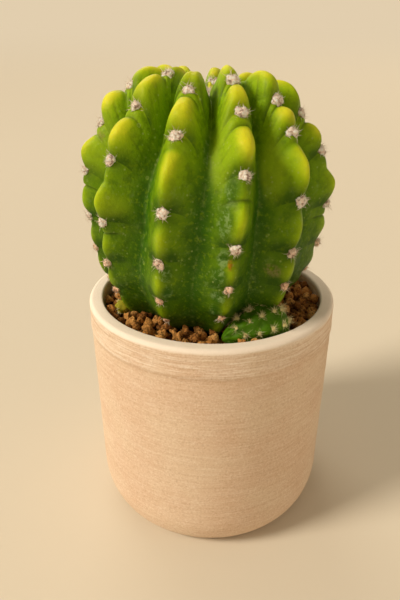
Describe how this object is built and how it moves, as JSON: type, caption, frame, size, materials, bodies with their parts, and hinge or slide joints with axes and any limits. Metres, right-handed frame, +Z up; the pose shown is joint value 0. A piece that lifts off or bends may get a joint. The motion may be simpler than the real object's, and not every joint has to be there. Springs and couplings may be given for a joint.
{
  "type": "potted cactus",
  "caption": "Round ribbed cactus with woolly areoles and young offsets, dressed with clay granules in a rounded beige clay pot with a drain hole.",
  "frame": {"origin": "centre of the pot's foot ring, on the surface the pot stands on", "axes": "+Z up along the pot's axis; the front of the plant, with the large offset, faces -Y"},
  "size_m": [0.11, 0.11, 0.1993],
  "materials": {
    "clay": "matte",
    "net": "matte",
    "gravel": "matte",
    "soil": "matte",
    "roots": "matte",
    "granules": "matte",
    "skin": "satin",
    "young_skin": "satin",
    "pale_skin": "satin",
    "felt": "matte"
  },
  "bodies": {
    "root": {"pot": "clay", "drainage_net": "net", "drainage_gravel": "gravel", "soil_mix": "soil", "root_ball": "roots", "top_dressing": "granules", "stem": "skin", "large_offset": "young_skin", "small_offset": "pale_skin", "crown_wool": "felt", "areole_rib01_1": "felt", "areole_rib01_2": "felt", "areole_rib01_3": "felt", "areole_rib01_4": "felt", "areole_rib02_1": "felt", "areole_rib02_2": "felt", "areole_rib02_3": "felt", "areole_rib02_4": "felt", "areole_rib03_1": "felt", "areole_rib03_2": "felt", "areole_rib03_3": "felt", "areole_rib03_4": "felt", "areole_rib04_1": "felt", "areole_rib04_2": "felt", "areole_rib04_3": "felt", "areole_rib04_4": "felt", "areole_rib05_1": "felt", "areole_rib05_2": "felt", "areole_rib05_3": "felt", "areole_rib05_4": "felt", "areole_rib06_1": "felt", "areole_rib06_2": "felt", "areole_rib06_3": "felt", "areole_rib06_4": "felt", "areole_rib07_1": "felt", "areole_rib07_2": "felt", "areole_rib07_3": "felt", "areole_rib07_4": "felt", "areole_rib08_1": "felt", "areole_rib08_2": "felt", "areole_rib08_3": "felt", "areole_rib08_4": "felt", "areole_rib09_1": "felt", "areole_rib09_2": "felt", "areole_rib09_3": "felt", "areole_rib09_4": "felt", "areole_rib10_1": "felt", "areole_rib10_2": "felt", "areole_rib10_3": "felt", "areole_rib10_4": "felt", "areole_rib11_1": "felt", "areole_rib11_2": "felt", "areole_rib11_3": "felt", "areole_rib11_4": "felt", "areole_rib12_1": "felt", "areole_rib12_2": "felt", "areole_rib12_3": "felt", "areole_rib12_4": "felt"}
  },
  "joints": []
}
